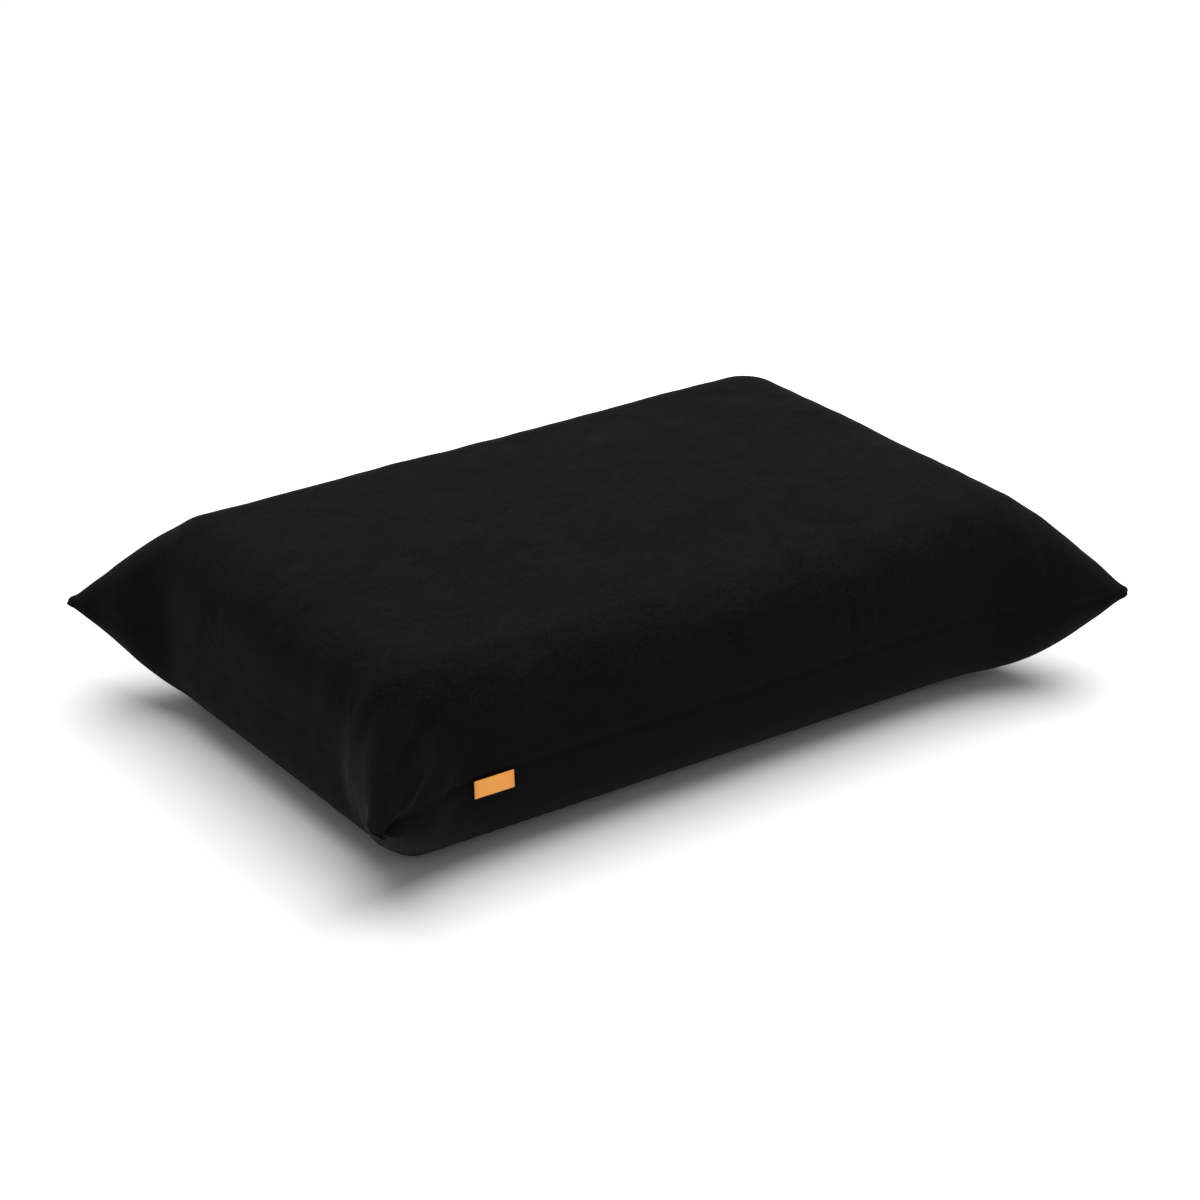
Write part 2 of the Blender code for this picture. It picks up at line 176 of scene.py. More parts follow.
def make_nap():
    """Short brushed pile: strokes that lie one way or the other in soft clouds, over a fine speckle."""
    t, given, out = group(
        "brushed_nap",
        "ShaderNodeTree",
        [
            ("Vector", "NodeSocketVector", None),
            ("Cloud Scale", "NodeSocketFloat", 22.0),
            ("Speckle Scale", "NodeSocketFloat", 900.0),
            ("Speckle Share", "NodeSocketFloat", 0.35),
        ],
        [("Shade", "NodeSocketFloat"), ("Height", "NodeSocketFloat")],
    )
    vector = given["Vector"]
    cloud = t.noise(vector, given["Cloud Scale"], 5.0, 0.62, 0.6)
    streak_at = t.add("ShaderNodeMapping", {"Vector": vector, "Scale": (0.45, 1.0, 1.0)})
    streak = t.noise(streak_at.outputs[0], 150.0, 4.0, 0.7)
    speckle = t.noise(vector, given["Speckle Scale"], 2.0, 0.7)
    speckle_shade = t.math("MULTIPLY", t.uneven(speckle, 3.0), given["Speckle Share"])
    total = t.math("ADD", t.math("ADD", t.uneven(cloud, 1.15), t.uneven(streak, 1.0)), speckle_shade)
    shade = t.add("ShaderNodeClamp", {"Value": t.math("ADD", total, 0.5)})
    t.feed(out["Shade"], shade.outputs[0])
    t.feed(out["Height"], t.math("ADD", t.scaled(streak, 0.6), t.scaled(speckle, 0.4)))
    return t.tree


def make_weave():
    """Plain weave of two sets of threads, from a map in metres."""
    t, given, out = group(
        "plain_weave",
        "ShaderNodeTree",
        [
            ("Vector", "NodeSocketVector", None),
            ("Threads per Metre", "NodeSocketFloat", 2200.0),
            ("Unevenness", "NodeSocketFloat", 0.25),
        ],
        [("Thread", "NodeSocketFloat"), ("Height", "NodeSocketFloat")],
    )
    drift = t.uneven(t.noise(given["Vector"], 260.0), given["Unevenness"])
    parts = t.add("ShaderNodeSeparateXYZ", {"Vector": given["Vector"]})
    waves, crests = [], []
    for axis in ("X", "Y"):
        turns = t.math("MULTIPLY", parts.outputs[axis], given["Threads per Metre"])
        waves.append(t.math("ADD", turns, drift))
        crests.append(t.math("ABSOLUTE", t.math("SINE", t.scaled(waves[-1], math.pi))))
    square = t.math("ADD", t.math("FLOOR", waves[0]), t.math("FLOOR", waves[1]))
    over = t.math("ABSOLUTE", t.math("MODULO", square, 2.0))
    warp = t.math("MULTIPLY", over, crests[0])
    weft = t.math("MULTIPLY", t.math("SUBTRACT", 1.0, over), crests[1])
    picked = t.math("ADD", warp, weft)
    t.feed(out["Height"], picked)
    t.feed(out["Thread"], t.math("MULTIPLY", picked, over))
    return t.tree


def make_scuffs():
    """Rubbed spots and fine scratches on lacquered metal."""
    t, given, out = group(
        "lacquer_scuffs",
        "ShaderNodeTree",
        [("Vector", "NodeSocketVector", None), ("Amount", "NodeSocketFloat", 0.5)],
        [("Mask", "NodeSocketFloat"), ("Height", "NodeSocketFloat")],
    )
    along = t.add("ShaderNodeMapping", {"Vector": given["Vector"], "Scale": (0.2, 1, 1.6)})
    rubbed = t.ramp(t.noise(given["Vector"], 420.0, 4.0, 0.6), 0.56, 0.72)
    lines = t.ramp(t.noise(along.outputs[0], 3200.0), 0.62, 0.78)
    both = t.math("MAXIMUM", rubbed, t.scaled(lines, 0.7))
    t.feed(out["Mask"], t.math("MULTIPLY", both, given["Amount"]))
    t.feed(out["Height"], t.scaled(lines, -1.0))
    return t.tree


NAP, WEAVE, SCUFFS = make_nap(), make_weave(), make_scuffs()


# ---------------------------------------------------------------- finishes


def bump(t, shader, height, distance, strength=1.0):
    node = t.add("ShaderNodeBump", {"Height": height, "Distance": distance, "Strength": strength})
    t.feed(shader.inputs["Normal"], node.outputs["Normal"])


def velour_finish():
    """Black pile, lying flatter and more even round the sides than on top."""
    made, t, shader = material(
        "black_velour", Roughness=0.92, Specular_IOR_Level=0.03, Sheen_Weight=0.025,
        Sheen_Roughness=0.42, Sheen_Tint=(1.0, 1.0, 1.0, 1),
    )
    place = t.place()
    sockets = {"Vector": place, "Cloud Scale": 34.0, "Speckle Scale": 620.0, "Speckle Share": 0.62}
    nap = t.add("ShaderNodeGroup", node_tree=NAP)
    for name, value in sockets.items():
        t.feed(nap.inputs[name], value)
    parts = t.add("ShaderNodeSeparateXYZ", {"Vector": place})
    loose = t.ramp(parts.outputs["Z"], 0.068, 0.100, 0.3, 1.0)
    shade = t.math("ADD", t.uneven(nap.outputs["Shade"], loose), 0.5)
    t.feed(shader.inputs["Base Color"], t.mix(shade, grey(0.0020), (0.0068, 0.0068, 0.0069, 1)))
    t.feed(shader.inputs["Roughness"], t.scaled(shade, 0.12, 0.84))
    bump(t, shader, nap.outputs["Height"], 0.0006, 0.55)
    return made


def woven_finish(name, low, high, threads, rough=0.75, depth=0.00006, sheen=0.1, uneven=0.25):
    made, t, shader = material(
        name, Roughness=rough, Specular_IOR_Level=0.3, Sheen_Weight=sheen, Sheen_Roughness=0.5
    )
    weave = t.add("ShaderNodeGroup", node_tree=WEAVE)
    t.feed(weave.inputs["Vector"], t.place("UV"))
    t.feed(weave.inputs["Threads per Metre"], threads)
    t.feed(weave.inputs["Unevenness"], uneven)
    fade = t.noise(t.place(), 120.0, 3.0)
    share = t.math("ADD", t.scaled(weave.outputs["Height"], 0.75), t.scaled(fade, 0.25))
    t.feed(shader.inputs["Base Color"], t.mix(share, low, high))
    worn = t.scaled(weave.outputs["Thread"], 0.12)
    t.feed(shader.inputs["Roughness"], t.math("SUBTRACT", rough + 0.06, worn))
    bump(t, shader, weave.outputs["Height"], depth)
    return made


def thread_finish(name, low, high):
    """Twisted sewing thread."""
    made, t, shader = material(
        name, Roughness=0.6, Specular_IOR_Level=0.35, Sheen_Weight=0.15, Sheen_Roughness=0.4
    )
    turned = t.add("ShaderNodeMapping", {"Vector": t.place(), "Rotation": (0.6, 0.6, 0.7)})
    ply = t.add(
        "ShaderNodeTexWave", {"Vector": turned.outputs[0], "Scale": 900.0, "Distortion": 1.5}
    )
    t.feed(shader.inputs["Base Color"], t.mix(ply.outputs["Fac"], low, high))
    bump(t, shader, ply.outputs["Fac"], 0.00004)
    return made


def nylon_finish():
    """The zip's black monofilament coil."""
    made, t, shader = material("black_nylon", Roughness=0.34, Specular_IOR_Level=0.5)
    cloud = t.noise(t.place(), 600.0, 3.0)
    t.feed(shader.inputs["Base Color"], t.mix(cloud, grey(0.008), grey(0.022)))
    t.feed(shader.inputs["Roughness"], t.scaled(cloud, 0.25, 0.25))
    bump(t, shader, cloud, 0.00003)
    return made


def lacquer_finish():
    made, t, shader = material(
        "black_lacquered_zinc", Roughness=0.32, Metallic=0.0, Coat_Weight=0.35,
        Coat_Roughness=0.2, Specular_IOR_Level=0.5,
    )
    scuffs = t.add("ShaderNodeGroup", node_tree=SCUFFS)
    t.feed(scuffs.inputs["Vector"], t.place())
    t.feed(scuffs.inputs["Amount"], 0.3)
    mask = scuffs.outputs["Mask"]
    t.feed(shader.inputs["Base Color"], t.mix(mask, grey(0.012), (0.22, 0.21, 0.20, 1)))
    t.feed(shader.inputs["Metallic"], t.scaled(mask, 0.8))
    t.feed(shader.inputs["Roughness"], t.scaled(mask, 0.2, 0.3))
    bump(t, shader, scuffs.outputs["Height"], 0.00003)
    return made


def foam_finish():
    """Open-cell foam: pale, matt, full of small holes, with painted shade in the holes."""
    made, t, shader = material("open_cell_foam", Roughness=0.95, Specular_IOR_Level=0.15)
    place = t.place()
    cells = t.add("ShaderNodeTexVoronoi", {"Vector": place, "Scale": 700.0, "Randomness": 1.0})
    holes_and_painted_shade = t.ramp(cells.outputs["Distance"], 0.1, 0.55)
    cloud = t.noise(place, 30.0, 4.0)
    base = t.mix(cloud, (0.72, 0.69, 0.58, 1), (0.80, 0.78, 0.68, 1))
    # The darker brown in the holes is painted shade, not a colour of the foam.
    t.feed(shader.inputs["Base Color"], t.mix(holes_and_painted_shade, (0.42, 0.39, 0.31, 1), base))
    bump(t, shader, holes_and_painted_shade, 0.0004, 0.7)
    return made


VELOUR = velour_finish()
LINER_CLOTH = woven_finish("liner_cloth", (0.10, 0.10, 0.11, 1), (0.20, 0.20, 0.21, 1), 1500.0)
TAPE_CLOTH = woven_finish(
    "zip_tape_cloth", grey(0.006), (0.018, 0.018, 0.019, 1), 1900.0, sheen=0.08
)
ORANGE_SATIN = woven_finish(
    "orange_label_weave", (0.92, 0.30, 0.040, 1), (1.0, 0.44, 0.085, 1), 3600.0, rough=0.6,
    depth=0.00004, sheen=0.15, uneven=0.15,
)
WHITE_SATIN = woven_finish(
    "white_satin", (0.70, 0.70, 0.69, 1), (0.86, 0.86, 0.85, 1), 4200.0, rough=0.42,
    depth=0.00002, sheen=0.2, uneven=0.1,
)
BLACK_THREAD = thread_finish("black_thread", grey(0.006), grey(0.024))
ORANGE_THREAD = thread_finish("orange_thread", (0.62, 0.17, 0.02, 1), (0.85, 0.28, 0.04, 1))
NYLON = nylon_finish()
LACQUER = lacquer_finish()
FOAM = foam_finish()


# ---------------------------------------------------------------- mesh helpers


def add_piece(name, vertices, faces, finish, maps=None):
    mesh = bpy.data.meshes.new(name)
    corners = [list(map(int, face)) for face in faces]
    mesh.from_pydata([tuple(map(float, v)) for v in vertices], [], corners)
    if maps is not None:
        layer = mesh.uv_layers.new(name="cut")
        loops = np.zeros(len(mesh.loops), np.int64)
        mesh.loops.foreach_get("vertex_index", loops)
        layer.data.foreach_set("uv", np.asarray(maps, float)[loops].astype(np.float32).ravel())
    mesh.update()
    mesh.polygons.foreach_set("use_smooth", [True] * len(mesh.polygons))
    piece = bpy.data.objects.new(name, mesh)
    bpy.context.scene.collection.objects.link(piece)
    piece.data.materials.append(finish)
    return piece


def grid_faces(index):
    """Four-sided faces between the neighbours in a grid of vertex numbers."""
    corners = [index[:-1, :-1], index[:-1, 1:], index[1:, 1:], index[1:, :-1]]
    return np.stack(corners, -1).reshape(-1, 4)


def give_wall(piece, thickness, offset):
    wall = piece.modifiers.new("wall", "SOLIDIFY")
    wall.thickness, wall.offset = thickness, offset


def finish_piece(piece, body, slot, *stands_for):
    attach(piece, body)
    if stands_for:
        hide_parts(*stands_for)


def apply_modifiers(piece):
    """Makes the evaluated shape the piece's own mesh."""
    bpy.context.view_layer.update()
    shown = piece.evaluated_get(bpy.context.evaluated_depsgraph_get())
    mesh = bpy.data.meshes.new_from_object(shown)
    piece.modifiers.clear()
    piece.data = mesh


def outwards(piece):
    """Turns the faces of a closed piece outwards."""
    work = bmesh.new()
    work.from_mesh(piece.data)
    bmesh.ops.remove_doubles(work, verts=work.verts, dist=1e-6)
    bmesh.ops.recalc_face_normals(work, faces=work.faces)
    work.to_mesh(piece.data)
    work.free()
    return piece


# ---------------------------------------------------------------- cover: settling the cloth


def push_out(points):
    """Moves points that are inside the stuffed block out to its surface."""
    x, y, z = points[..., 0], points[..., 1], points[..., 2] - SEAM
    over_x = np.abs(x) - (BLOCK[0] - BLOCK_CORNER)
    over_y = np.abs(y) - (BLOCK[1] - BLOCK_CORNER)
    round_x, round_y = np.maximum(over_x, 0), np.maximum(over_y, 0)
    away = np.hypot(round_x, round_y)
    plan = away + np.minimum(np.maximum(over_x, over_y), 0) - BLOCK_CORNER
    safe = np.maximum(away, 1e-9)
    plan_x = np.where(away > 1e-9, round_x / safe, over_x > over_y) * np.sign(x)
    plan_y = np.where(away > 1e-9, round_y / safe, over_x <= over_y) * np.sign(y)
    below = BOTTOM_EDGE_AT_SIDES + (BOTTOM_EDGE_AT_ENDS - BOTTOM_EDGE_AT_SIDES) * plan_x**2
    edge = np.where(z > 0, TOP_EDGE, below)
    side, up = plan + edge, np.abs(z) - BLOCK[2] + edge
    side_out, up_out = np.maximum(side, 0), np.maximum(up, 0)
    out = np.hypot(side_out, up_out)
    distance = out + np.minimum(np.maximum(side, up), 0) - edge
    safe = np.maximum(out, 1e-9)
    share_side = np.where(out > 1e-9, side_out / safe, side > up)
    share_up = np.where(out > 1e-9, up_out / safe, side <= up) * np.sign(z)
    normal = np.stack([plan_x * share_side, plan_y * share_side, share_up], -1)
    return points + np.maximum(-distance, 0)[..., None] * normal


def edge_of(rows, columns):
    """Marks the outermost points of a grid."""
    mask = np.zeros((rows, columns), bool)
    mask[[0, -1]] = True
    mask[:, [0, -1]] = True
    return mask


def sew(panels, seam):
    """Brings the two panels' seam points together, halfway."""
    panels[0][seam] = panels[1][seam] = (panels[0][seam] + panels[1][seam]) / 2


def normals_of(points, side):
    along, across = np.gradient(points, axis=1), np.gradient(points, axis=0)
    normal = np.cross(along, across) * side
    return normal / (np.linalg.norm(normal, axis=-1, keepdims=True) + 1e-12)


# How hard threads pull back when stretched and when pushed together, and how the cloth resists
# a skew and a fold.
STRETCH, SQUEEZE, SKEW, FOLD = 1.0, 0.16, 0.2, 0.15
# What a point keeps of its last move, how much of a new move it takes, and its own inertia.
KEPT_SPEED, TAKEN_MOVE, INERTIA = 0.85, 0.8, 0.4


def pull_together(points, moves, weights, step_x, step_y):
    rows, columns = points.shape[:2]
    skewed = math.hypot(step_x, step_y)
    for down, right, rest, pull, push in (
        (0, 1, step_x, STRETCH, SQUEEZE),
        (1, 0, step_y, STRETCH, SQUEEZE),
        (1, 1, skewed, SKEW, SKEW * 0.6),
        (1, -1, skewed, SKEW, SKEW * 0.6),
        (0, 2, 2 * step_x, 0, FOLD),
        (2, 0, 2 * step_y, 0, FOLD),
        (0, 4, 4 * step_x, 0, FOLD * 0.6),
        (4, 0, 4 * step_y, 0, FOLD * 0.6),
    ):
        first = (slice(0, rows - down), slice(max(-right, 0), columns - max(right, 0)))
        second = (slice(down, rows), slice(max(right, 0), columns + min(right, 0)))
        between = points[second] - points[first]
        length = np.sqrt((between * between).sum(-1)) + 1e-12
        stiffness = np.where(length > rest, pull, push)
        move = between * (0.5 * stiffness * (length - rest) / length)[..., None]
        moves[first] += move
        moves[second] -= move
        weights[first] += stiffness
        weights[second] += stiffness


def first_shape(u, v, side):
    """The block's skin drawn out to the corner points, before the cloth settles."""
    u, v = np.meshgrid(u, v)
    inwards = np.minimum((1 - np.abs(u)) * PATTERN[0] / 2, (1 - np.abs(v)) * PATTERN[1] / 2)
    x = u * (BLOCK[0] + (EAR[0] - BLOCK[0]) * np.abs(v) ** 6)
    y = v * (BLOCK[1] + (EAR[1] - BLOCK[1]) * np.abs(u) ** 9)
    z = BLOCK[2] * np.sin(np.minimum(inwards / 0.07, 1) * math.pi / 2)
    return np.stack([x, y, SEAM + side * z], -1)


def cubic(points, at, axis):
    """Smooth curves through evenly spaced points, read at other places from -1 to 1."""
    points = np.moveaxis(points, axis, 0)
    last = len(points) - 1
    place = (np.asarray(at) + 1) / 2 * last
    base = np.clip(np.floor(place).astype(int), 0, last - 1)
    t = (place - base).reshape(-1, *([1] * (points.ndim - 1)))
    before = points[np.maximum(base - 1, 0)]
    a, b = points[base], points[base + 1]
    after = points[np.minimum(base + 2, last)]
    before = np.where((base == 0).reshape(t.shape), 2 * a - b, before)
    after = np.where((base == last - 1).reshape(t.shape), 2 * b - a, after)
    made = a + 0.5 * t * (
        b - before + t * (2 * before - 5 * a + 4 * b - after + t * (3 * (a - b) + after - before))
    )
    return np.moveaxis(made, 0, axis)


def seam_height(x, y):
    """The front seam sags a little towards the corners, and rises again to the corner points."""
    front = smooth(-0.06, -0.12, y)
    droop = smooth(0.10, 0.185, np.abs(x)) * (1 - smooth(0.200, 0.228, np.abs(x)))
    return SEAM - 0.0015 * front * droop


# How far the filling pushes the cover out in a round, at the finest level's spacing: over the
# block, and in each corner (right, back) outside it. The seam takes a tenth of it.
SPREAD, SPREAD_AT_STEP, SEAM_SHARE = 3.0e-8, 0.0037, 0.1
EAR_SPREAD = {(-1, -1): 1.4e-6, (1, -1): 5.6e-6, (-1, 1): 4.2e-6, (1, 1): 3.6e-6}
# The near end of the short side on the left: where its line starts and how far on it runs, how
# far out it has come by then, and how high above and below the seam it is felt.
FLANK_START, FLANK_RUN, FLANK_OUT, FLANK_RISE = -0.072, 0.0735, 0.0220, 0.021


def spread(points):
    x, y = points[..., 0], points[..., 1]
    inside = smooth(0.152, 0.200, np.abs(x)) * smooth(0.085, 0.124, np.abs(y))
    total = np.full(x.shape, SPREAD)
    for (right, back), push in EAR_SPREAD.items():
        total += push * inside * (x * right > 0) * (y * back > 0)
    return total


def draw_flank_out(points, side, seam):
    """The near end of the short side runs straight out to its corner point."""
    x, y, z = points[..., 0], points[..., 1], points[..., 2]
    normal = normals_of(points, side)
    left = smooth(-0.1, 0.45, 0.6 * normal[..., 1] - normal[..., 0])
    left = np.where(seam, 1.0, left) * smooth(0.186, 0.199, -x)
    run = np.clip((FLANK_START - y) / FLANK_RUN, 0, 1) ** 1.25
    line = -BLOCK[0] - 0.0006 - FLANK_OUT * run
    share = left * smooth(0, 0.25, run) * bell(z - SEAM, FLANK_RISE)
    points[..., 0] -= share * np.maximum(x - line, 0)


def round_ridges(panels, seam, passes=10, share=0.7):
    """Evens out the fabric round the near corner point, away from the seam."""
    for _ in range(passes):
        for k, points in enumerate(panels):
            x, y = points[..., 0], points[..., 1]
            weight = share * (smooth(0.160, 0.190, -x) * smooth(0.098, 0.122, -y) * ~seam)
            mean = np.zeros_like(points)
            mean[1:-1, 1:-1] = (
                points[:-2, 1:-1] + points[2:, 1:-1] + points[1:-1, :-2] + points[1:-1, 2:]
            ) / 4 - points[1:-1, 1:-1]
            panels[k] = push_out(points + weight[..., None] * mean)


def settle_cover(levels):
    """Two flat panels, sewn together at their edges, drawn tight over the block on the floor."""
    chance = np.random.default_rng(7)
    panels = None
    for columns, rows, rounds in levels:
        u, v = np.linspace(-1, 1, columns + 1), np.linspace(-1, 1, rows + 1)
        if panels is None:
            panels = [first_shape(u, v, 1), first_shape(u, v, -1)]
        else:
            panels = [cubic(cubic(p, u, 1), v, 0) for p in panels]
        step_x, step_y = PATTERN[0] / columns, PATTERN[1] / rows
        seam = edge_of(rows + 1, columns + 1)
        for points in panels:
            points[~seam] += chance.normal(0, 0.0002, points[~seam].shape)
        speed = [np.zeros_like(p) for p in panels]
        for _ in range(rounds):
            normals = [normals_of(p, side) for p, side in zip(panels, (1, -1))]
            shared = normals[0][seam] + normals[1][seam]
            shared /= np.linalg.norm(shared, axis=-1, keepdims=True) + 1e-12
            moves = [np.zeros_like(p) for p in panels]
            weights = [np.full(p.shape[:2], INERTIA) for p in panels]
            for points, move, weight in zip(panels, moves, weights):
                pull_together(points, move, weight, step_x, step_y)
            seam_move = moves[0][seam] + moves[1][seam]
            seam_weight = weights[0][seam] + weights[1][seam]
            for k in (0, 1):
                normals[k][seam] = shared
                moves[k][seam], weights[k][seam] = seam_move, seam_weight
                pull = moves[k] * (TAKEN_MOVE / weights[k])[..., None]
                speed[k] = KEPT_SPEED * speed[k] + pull
                fill = np.where(seam, SEAM_SHARE, 1.0) * spread(panels[k]) * step_x / SPREAD_AT_STEP
                points = panels[k] + speed[k] + normals[k] * fill[..., None]
                height = seam_height(points[seam][:, 0], points[seam][:, 1])
                points[seam, 2] += (height - points[seam][:, 2]) * 0.3
                points = push_out(points)
                points[..., 2] = np.maximum(points[..., 2], 0.0003)
                for row, y in ((0, -EAR[1]), (-1, EAR[1])):
                    points[row, 0] = (-EAR[0], y, SEAM)
                    points[row, -1] = (EAR[0], y, SEAM)
                speed[k] = points - panels[k]
                panels[k] = points
            sew(panels, seam)
    for points, side in zip(panels, (1, -1)):
        draw_flank_out(points, side, seam)
    sew(panels, seam)
    round_ridges(panels, seam)
    return panels


# ---------------------------------------------------------------- cover: folds, creases and opening


def near_path(points, path, width):
    """1 on a path seen from one side, falling to 0 away from it and at its two ends."""
    path = np.asarray(path, float)
    nearest = np.full(points.shape[:-1], 1e9)
    share = np.zeros(points.shape[:-1])
    lengths = np.linalg.norm(np.diff(path, axis=0), axis=1)
    total, done = lengths.sum(), 0.0
    for a, b, length in zip(path, path[1:], lengths):
        along = np.clip(((points - a) @ (b - a)) / length**2, 0, 1)
        away = np.linalg.norm(points - (a + along[..., None] * (b - a)), axis=-1)
        closer = away < nearest
        nearest = np.where(closer, away, nearest)
        share = np.where(closer, (done + along * length) / total, share)
        done += length
    fade = np.sin(np.clip(share, 0, 1) * math.pi) ** 0.6
    return bell(nearest, width) * fade


# On the front: a path of (along, up) places, its width and its height, below zero for a groove.
FRONT_FOLDS = (
    # the pinch at the near corner: a groove, the crest beside it, and three small ones below
    (((-0.168, 0.099), (-0.1741, 0.094), (-0.1803, 0.0888), (-0.1863, 0.0834), (-0.1922, 0.0798),
      (-0.1995, 0.0759), (-0.2058, 0.0706), (-0.2116, 0.0646), (-0.2165, 0.0599)),
     0.0036, -0.0040),
    (((-0.1830, 0.083), (-0.1867, 0.0795), (-0.1918, 0.0750), (-0.1996, 0.0676),
      (-0.2061, 0.0619), (-0.2100, 0.0570)), 0.0034, 0.0020),
    (((-0.1990, 0.0640), (-0.2010, 0.0600), (-0.2030, 0.0560)), 0.0030, -0.0007),
    (((-0.1780, 0.066), (-0.1792, 0.063), (-0.1851, 0.0557)), 0.0040, 0.0010),
    (((-0.1950, 0.0560), (-0.1810, 0.0530), (-0.1727, 0.0515), (-0.1650, 0.0505)), 0.0022, -0.0010),
    # soft upright wrinkles
    (((0.062, 0.094), (0.061, 0.080), (0.063, 0.066), (0.067, 0.054)), 0.0030, -0.0013),
    (((0.069, 0.092), (0.070, 0.076), (0.072, 0.060)), 0.0024, -0.0010),
    (((0.0655, 0.092), (0.0655, 0.076), (0.068, 0.060)), 0.0022, 0.0007),
    (((0.079, 0.090), (0.080, 0.074), (0.082, 0.058)), 0.0026, -0.0011),
    (((0.187, 0.088), (0.186, 0.076), (0.187, 0.066)), 0.0028, -0.0013),
    (((0.196, 0.082), (0.194, 0.074), (0.193, 0.066)), 0.0024, -0.0010),
)


def fan(path, steps, width, height):
    """Fine wrinkles beside each other: shifted copies of one path of (across, up) places."""
    return [
        ([(a + shift, b - abs(shift) * 0.3) for a, b in path], width, height) for shift in steps
    ]


# On the short side on the left: paths of (across, up) places.
END_FOLDS = (
    *fan(((-0.081, 0.103), (-0.084, 0.094), (-0.081, 0.082), (-0.071, 0.066)),
         (-0.0075, -0.0035, 0.0, 0.004, 0.009), 0.0013, -0.00062),
    *fan(((0.050, 0.094), (0.046, 0.082), (0.049, 0.069), (0.057, 0.055)),
         (-0.008, -0.004, 0.0, 0.005), 0.0014, -0.00060),
)


def broad_noise(points, scale, seed):
    """Soft seeded unevenness between about -1 and 1."""
    chance = np.random.default_rng(seed)
    total = np.zeros(points.shape[:-1])
    for _ in range(14):
        wave = chance.normal(size=3)
        wave *= chance.uniform(0.5, 1.5) / (np.linalg.norm(wave) * scale)
        total += np.sin(points @ (wave * 2 * math.pi) + chance.uniform(0, 2 * math.pi))
    return total / 5


# The puckers along the seam: the share, the length and the turn of each wave, and their height.
PUCKERS, PUCKER_HEIGHT = ((0.5, 0.0068, 0.3), (0.3, 0.0113, 1.7), (0.25, 0.0047, 2.9)), 0.00016
CREASE_DEPTH, LIP_HEIGHT, OPEN_LIP_HEIGHT = 0.00065, 0.0004, 0.00035
CROWN_HEIGHT = 0.0012  # how far the top rises in the middle


def wave_sum(along, waves):
    return sum(a * np.sin(2 * math.pi * along / length + turn) for a, length, turn in waves)


def shape_panel(points, u, v, side):
    """Seam crease and puckers, folds, the crown, and the opening for the zip."""
    grid_u, grid_v = np.meshgrid(u, v)
    to_end = (1 - np.abs(grid_u)) * PATTERN[0] / 2
    to_side = (1 - np.abs(grid_v)) * PATTERN[1] / 2
    from_seam = np.minimum(to_end, to_side)
    normal = normals_of(points, side)
    x, y, z = points[..., 0], points[..., 1], points[..., 2]
    along = np.where(to_side < to_end, x, y)
    opening = (y > 0) * (to_side <= to_end) * (1 - smooth(ZIP_HALF_LENGTH, 0.157, np.abs(x)))
    sewn = 1 - opening
    tip = smooth(0.0, 0.030, np.hypot(to_end, to_side))
    crease = -CREASE_DEPTH * bell(from_seam, 0.0019)
    lip = LIP_HEIGHT * bell(from_seam - 0.0045, 0.0026) * (1 if side > 0 else 0.4)
    pucker = wave_sum(along + 0.0007 * side, PUCKERS)
    pucker = pucker * PUCKER_HEIGHT * bell(from_seam, 0.006) * smooth(0, 0.002, from_seam)
    short_end = smooth(-0.02, 0.02, to_side - to_end)
    move = (crease + lip + pucker) * sewn * tip * (1 - 0.7 * short_end)
    move = move + opening * OPEN_LIP_HEIGHT * bell(from_seam - 0.0028, 0.0022)
    free = smooth(0.004, 0.03, z)
    move = move + 0.0005 * broad_noise(points, 0.11, 3) * tip * free
    move = move + 0.00018 * broad_noise(points, 0.024, 5) * tip * free
    on_front = smooth(-0.100, -0.116, y) * smooth(0.05, 0.4, -normal[..., 1])
    for path, width, height in FRONT_FOLDS:
        move = move + height * on_front * near_path(points[..., [0, 2]], path, width)
    at_end = smooth(-0.172, -0.186, x) * smooth(-0.128, -0.120, y)
    for path, width, height in END_FOLDS:
        move = move + height * at_end * near_path(points[..., [1, 2]], path, width)
    if side > 0:
        crown = (1 - smooth(0.0, 0.19, np.abs(x))) * (1 - smooth(0.0, 0.12, np.abs(y)))
        move = move + CROWN_HEIGHT * crown
    flat = (z < 0.0012) & (side < 0)
    move = np.where(flat, 0, move)
    shaped = points + normal * move[..., None]
    shift = opening * ZIP_HALF_GAP * np.clip(1 - from_seam / 0.026, 0, 1) ** 2
    shaped[..., 2] += side * shift
    shaped[..., 2] = np.maximum(shaped[..., 2], 0.0002)
    return shaped, opening


def graded(count):
    """Places from -1 to 1, closer together towards the seam."""
    t = np.linspace(-1, 1, count + 1)
    return 0.5 * t + 0.5 * np.sin(t * math.pi / 2)


def make_cover():
    levels = ((32, 22, 500), (64, 44, 500)) + ((((128, 88, 420),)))
    settled = settle_cover(levels)
    u, v = graded(184), graded(130)
    fine = [cubic(cubic(p, u, 1), v, 0) for p in settled]
    panels, opened = [], None
    for points, side in zip(fine, (1, -1)):
        shaped, opened = shape_panel(points, u, v, side)
        panels.append(shaped)
    rows, columns = panels[0].shape[:2]
    shut = edge_of(rows, columns) & (opened < 1e-4)
    top_index = np.arange(rows * columns).reshape(rows, columns)
    bottom_index = np.full((rows, columns), -1)
    bottom_index[~shut] = rows * columns + np.arange((~shut).sum())
    bottom_index[shut] = top_index[shut]
    sew(panels, shut)
    vertices = np.concatenate([panels[0].reshape(-1, 3), panels[1][~shut]])
    faces = np.concatenate([grid_faces(top_index), grid_faces(bottom_index)[:, ::-1]])
    piece = add_piece("velour_cover", vertices, faces, VELOUR)
    give_wall(piece, COVER_WALL, -1)
    finish_piece(piece, "pillow", "cover", "cover_top_panel", "cover_bottom_panel")
    return piece


cover = make_cover()


# ---------------------------------------------------------------- foam block and its liner


